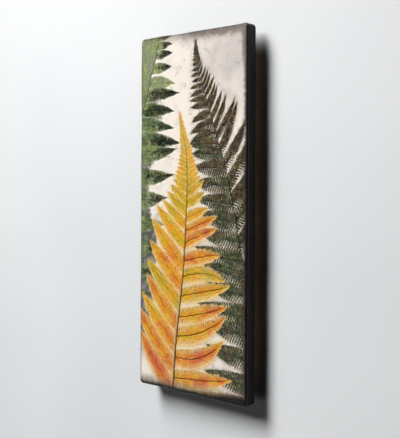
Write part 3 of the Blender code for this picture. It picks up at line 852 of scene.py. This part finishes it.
# millimetres: the slab behind the face, from under the roll-over to the back
slab = {"step": 2.2, "ledge": 3.0, "cap": 3.0, "capRings": (0.55, 0.8), "sideRings": 19, "backRings": 16,
        "backRound": 1.2, "backInset": 0.3, "dents": 0.28, "inset": 0.10,
        "clay": "#b79c7f", "dullClay": "#9a7f64", "grog": "#6d5744",
        "oxide": [(0.3, "#060505"), (0.55, "#0e0a09"), (0.75, "#251811")]}


def ringStations(length):
    # closer points round the corners
    corner = np.linspace(0, face["corner"], 7)
    count = round((length - 2 * face["corner"]) / slab["step"])
    between = np.linspace(face["corner"], length - face["corner"], count)
    return np.concatenate([corner[:-1], between, length - corner[-2::-1]])


def slabOutline():
    # once round the slab: along the top, down the right, back along the bottom, up the left
    u, v = ringStations(faceWidth), ringStations(faceHeight)
    roundU = np.concatenate([u[:-1], np.full(len(v) - 1, faceWidth), u[:0:-1], np.zeros(len(v) - 1)])
    roundV = np.concatenate([np.zeros(len(u) - 1), v[:-1], np.full(len(u) - 1, faceHeight), v[:0:-1]])
    mu, mv, _ = outlineMap(roundU, roundV)
    return mu, mv


def buildSlab(material):
    # the outline carried back from the roll-over to the back face, closed by rings that shrink to its middle
    mu, mv = slabOutline()
    ring = np.stack([mu, mv], axis=-1)
    outward = np.roll(ring, -1, axis=0) - np.roll(ring, 1, axis=0)
    outward = np.stack([outward[:, 1], -outward[:, 0]], axis=-1)
    outward /= np.linalg.norm(outward, axis=1, keepdims=True)
    thick = (slabHigh.y - slabLow.y) / mm
    length = np.r_[0, np.cumsum(np.linalg.norm(np.diff(ring, axis=0), axis=1))]
    middle = np.array([faceWidth / 2, faceHeight / 2])
    closed = length / (length[-1] + slab["step"]) * 2 * math.pi
    laps = []                                       # (points, stain) ring by ring, front to back
    for shrink in slab["capRings"]:
        laps.append((middle + (ring - middle) * shrink, slab["cap"], 1.0))
    laps.append((ring - outward * slab["ledge"], slab["cap"], 1.0))
    start, end = face["roll"] - 0.2, thick - slab["backRound"]
    for depth in np.linspace(start, end, slab["sideRings"]):
        across = 1 - (2 * (depth - start) / (end - start) - 1) ** 4
        dent = clouds(length, depth * 6, 26, 41) + 0.4 * clouds(length, depth * 2, 5, 42)
        dent *= slab["dents"] * across
        dent *= smoothStep(0, 4, closed) * smoothStep(0, 4, 2 * math.pi - closed)
        laps.append((ring + outward * (dent[:, None] - slab["inset"]), depth, 1.0))
    for turn in np.linspace(0, math.pi / 2, 5)[1:]:
        inset = slab["backRound"] * (1 - math.cos(turn)) + slab["inset"]
        laps.append((ring - outward * inset, end + slab["backRound"] * math.sin(turn), 1.0))
    for i in range(1, slab["backRings"]):
        shrink = 1 - (i / slab["backRings"]) ** 1.4
        inner = ring - outward * (slab["backRound"] + slab["backInset"])
        laps.append((middle + (inner - middle) * shrink, thick, math.exp(-3.6 * (1 - shrink))))
    count = len(ring)
    points = np.concatenate([toRow(lap[:, 0], lap[:, 1], depth) for lap, depth, _ in laps])
    stains = np.concatenate([np.full(count, stain) for _, _, stain in laps])
    # a fan of triangles closes each end at its middle
    ends = toRow(np.array([middle[0]] * 2), np.array([middle[1]] * 2), np.array([slab["cap"], thick]))
    points = np.concatenate([points, ends])
    stains = np.r_[stains, 1.0, 0.0]
    here = np.arange(count)
    after = (here + 1) % count
    walls = [np.stack([lap * count + here, lap * count + after, (lap + 1) * count + after,
                       (lap + 1) * count + here], axis=-1) for lap in range(len(laps) - 1)]
    last = (len(laps) - 1) * count
    mesh = bpy.data.meshes.new("slab_body")
    fans = [(len(points) - 2, int(b), int(a)) for a, b in zip(here, after)]
    fans += [(len(points) - 1, int(last + a), int(last + b)) for a, b in zip(here, after)]
    mesh.from_pydata(points.tolist(), [], np.concatenate(walls).tolist() + fans)
    mesh.update()
    mesh.shade_smooth()
    mesh.materials.append(material)
    piece = bpy.data.objects.new("slab_body", mesh)
    bpy.context.scene.collection.objects.link(piece)
    layer = mesh.attributes.new("stain", "FLOAT", "POINT")
    layer.data.foreach_set("value", stains.astype(np.float32))
    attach(piece, "root")
    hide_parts("plaque")
    print("slab body:", len(points), "points")


def slabGlaze():
    # black oxide where the stain layer is 1, bare clay printed with the cloth it was rolled on where it is 0
    bench = Bench("slabGlaze", Specular_IOR_Level=0.18)
    stain = bench.add("ShaderNodeAttribute", {"attribute_name": "stain"}, {}, 2)
    clay = bench.mix(paint(slab["clay"]), paint(slab["dullClay"]), bench.noise(35, 4.0).step(0.35, 0.65))
    clay = bench.coat(clay, slab["grog"], (1 - bench.dots(4.0).step(0.04, 0.14)) * 0.5)
    oxide = bench.ramp(bench.noise(9, 4.0, 0.6, bend=0.4), slab["oxide"])
    ragged = stain + (bench.noise(14, 4.0, 0.6) - 0.5) * 0.7
    colour = bench.mix(clay, oxide, ragged.step(0.35, 0.75))
    threads = {"Vector": bench.place(), "Scale": 260.0, "Distortion": 0.6}
    weft, warp = [bench.add("ShaderNodeTexWave", {"bands_direction": axis}, threads) for axis in "XZ"]
    cloth = weft * warp * (1 - stain.step(0.3, 0.8))
    grain = bench.bump(bench.noise(1.4, 4.0, 0.6), 0.35, 0.0005, bench.bump(cloth, 0.25, 0.0003))
    roughness = 0.75 - stain * 0.3 + (bench.noise(12, 3.0) - 0.5) * 0.2
    return bench.finish(Base_Color=colour, Roughness=roughness, Normal=grain)


buildSlab(slabGlaze())


# growth is a ring's width in mm, and run how far rings are drawn out along the batten
timber = {"growth": 3.2, "run": 0.06, "pale": "#c79f6b", "dark": "#a5763f", "late": "#7d5227"}
fittings = {"zinc": "#d3d4d1", "dullZinc": "#b0b1ae", "felt": "#2b2927", "fuzz": "#4a4642",
            "adhesive": "#dcd8cb", "dullAdhesive": "#c6c0ae"}


def pineTimber(name, alongZ):
    # growth rings are stretched noise along the batten
    bench = Bench(name, Specular_IOR_Level=0.3)
    scale = (1.0, 1.0, timber["run"]) if alongZ else (timber["run"], 1.0, 1.0)
    at = bench.stretched(scale)
    rings = bench.noise(timber["growth"], 4.0, 0.55, at, 0.6)
    streak = bench.noise(0.7, 3.0, 0.6, at)
    colour = bench.ramp(rings + (streak - 0.5) * 0.25, [(0.3, timber["pale"]), (0.52, timber["dark"]),
                                                        (0.66, timber["late"])])
    roughness = 0.62 + (rings - 0.5) * 0.25
    return bench.finish(Base_Color=colour, Roughness=roughness, Normal=bench.bump(streak, 0.25, 0.0003))


def zincSteel():
    # dull plating with a fine spangle
    bench = Bench("zincSteel", Metallic=0.6)
    spangle = bench.noise(1.6, 3.0)
    colour = bench.mix(paint(fittings["zinc"]), paint(fittings["dullZinc"]), spangle.step(0.35, 0.65))
    return bench.finish(Base_Color=colour, Roughness=0.48 + (spangle - 0.4) * 0.35,
                        Normal=bench.bump(bench.noise(0.5, 2.0), 0.12, 0.0001))


def pressedFelt():
    # matted fibres
    bench = Bench("pressedFelt", Specular_IOR_Level=0.1)
    fuzz = bench.noise(0.6, 5.0, 0.7)
    colour = bench.mix(paint(fittings["felt"]), paint(fittings["fuzz"]), fuzz.step(0.35, 0.7))
    return bench.finish(Base_Color=colour, Roughness=0.9 + (fuzz - 0.5) * 0.15,
                        Normal=bench.bump(fuzz, 0.7, 0.0006))


def curedAdhesive():
    # smooth skin with slow hollows
    bench = Bench("curedAdhesive", Specular_IOR_Level=0.4)
    skin = bench.noise(3.0, 3.0)
    colour = bench.mix(paint(fittings["adhesive"]), paint(fittings["dullAdhesive"]), skin.step(0.35, 0.7))
    return bench.finish(Base_Color=colour, Roughness=0.45 + (skin - 0.5) * 0.2,
                        Normal=bench.bump(skin, 0.3, 0.0004))


def finishHardware():
    # every other node keeps its mesh and takes a material by what it is
    upright, level = pineTimber("pineUpright", True), pineTimber("pineLevel", False)
    steel, felt, adhesive = zincSteel(), pressedFelt(), curedAdhesive()
    for name, node in frame["nodes"].items():
        if name == "plaque":
            continue
        choice = adhesive
        if name.endswith("stile"):
            choice = upright
        elif name.endswith("rail"):
            choice = level
        elif "screw" in name or name == "keyhole_plate":
            choice = steel
        elif name.startswith("bumper"):
            choice = felt
        for slot in node.material_slots:
            slot.material = choice
    print("hardware finished")


finishHardware()
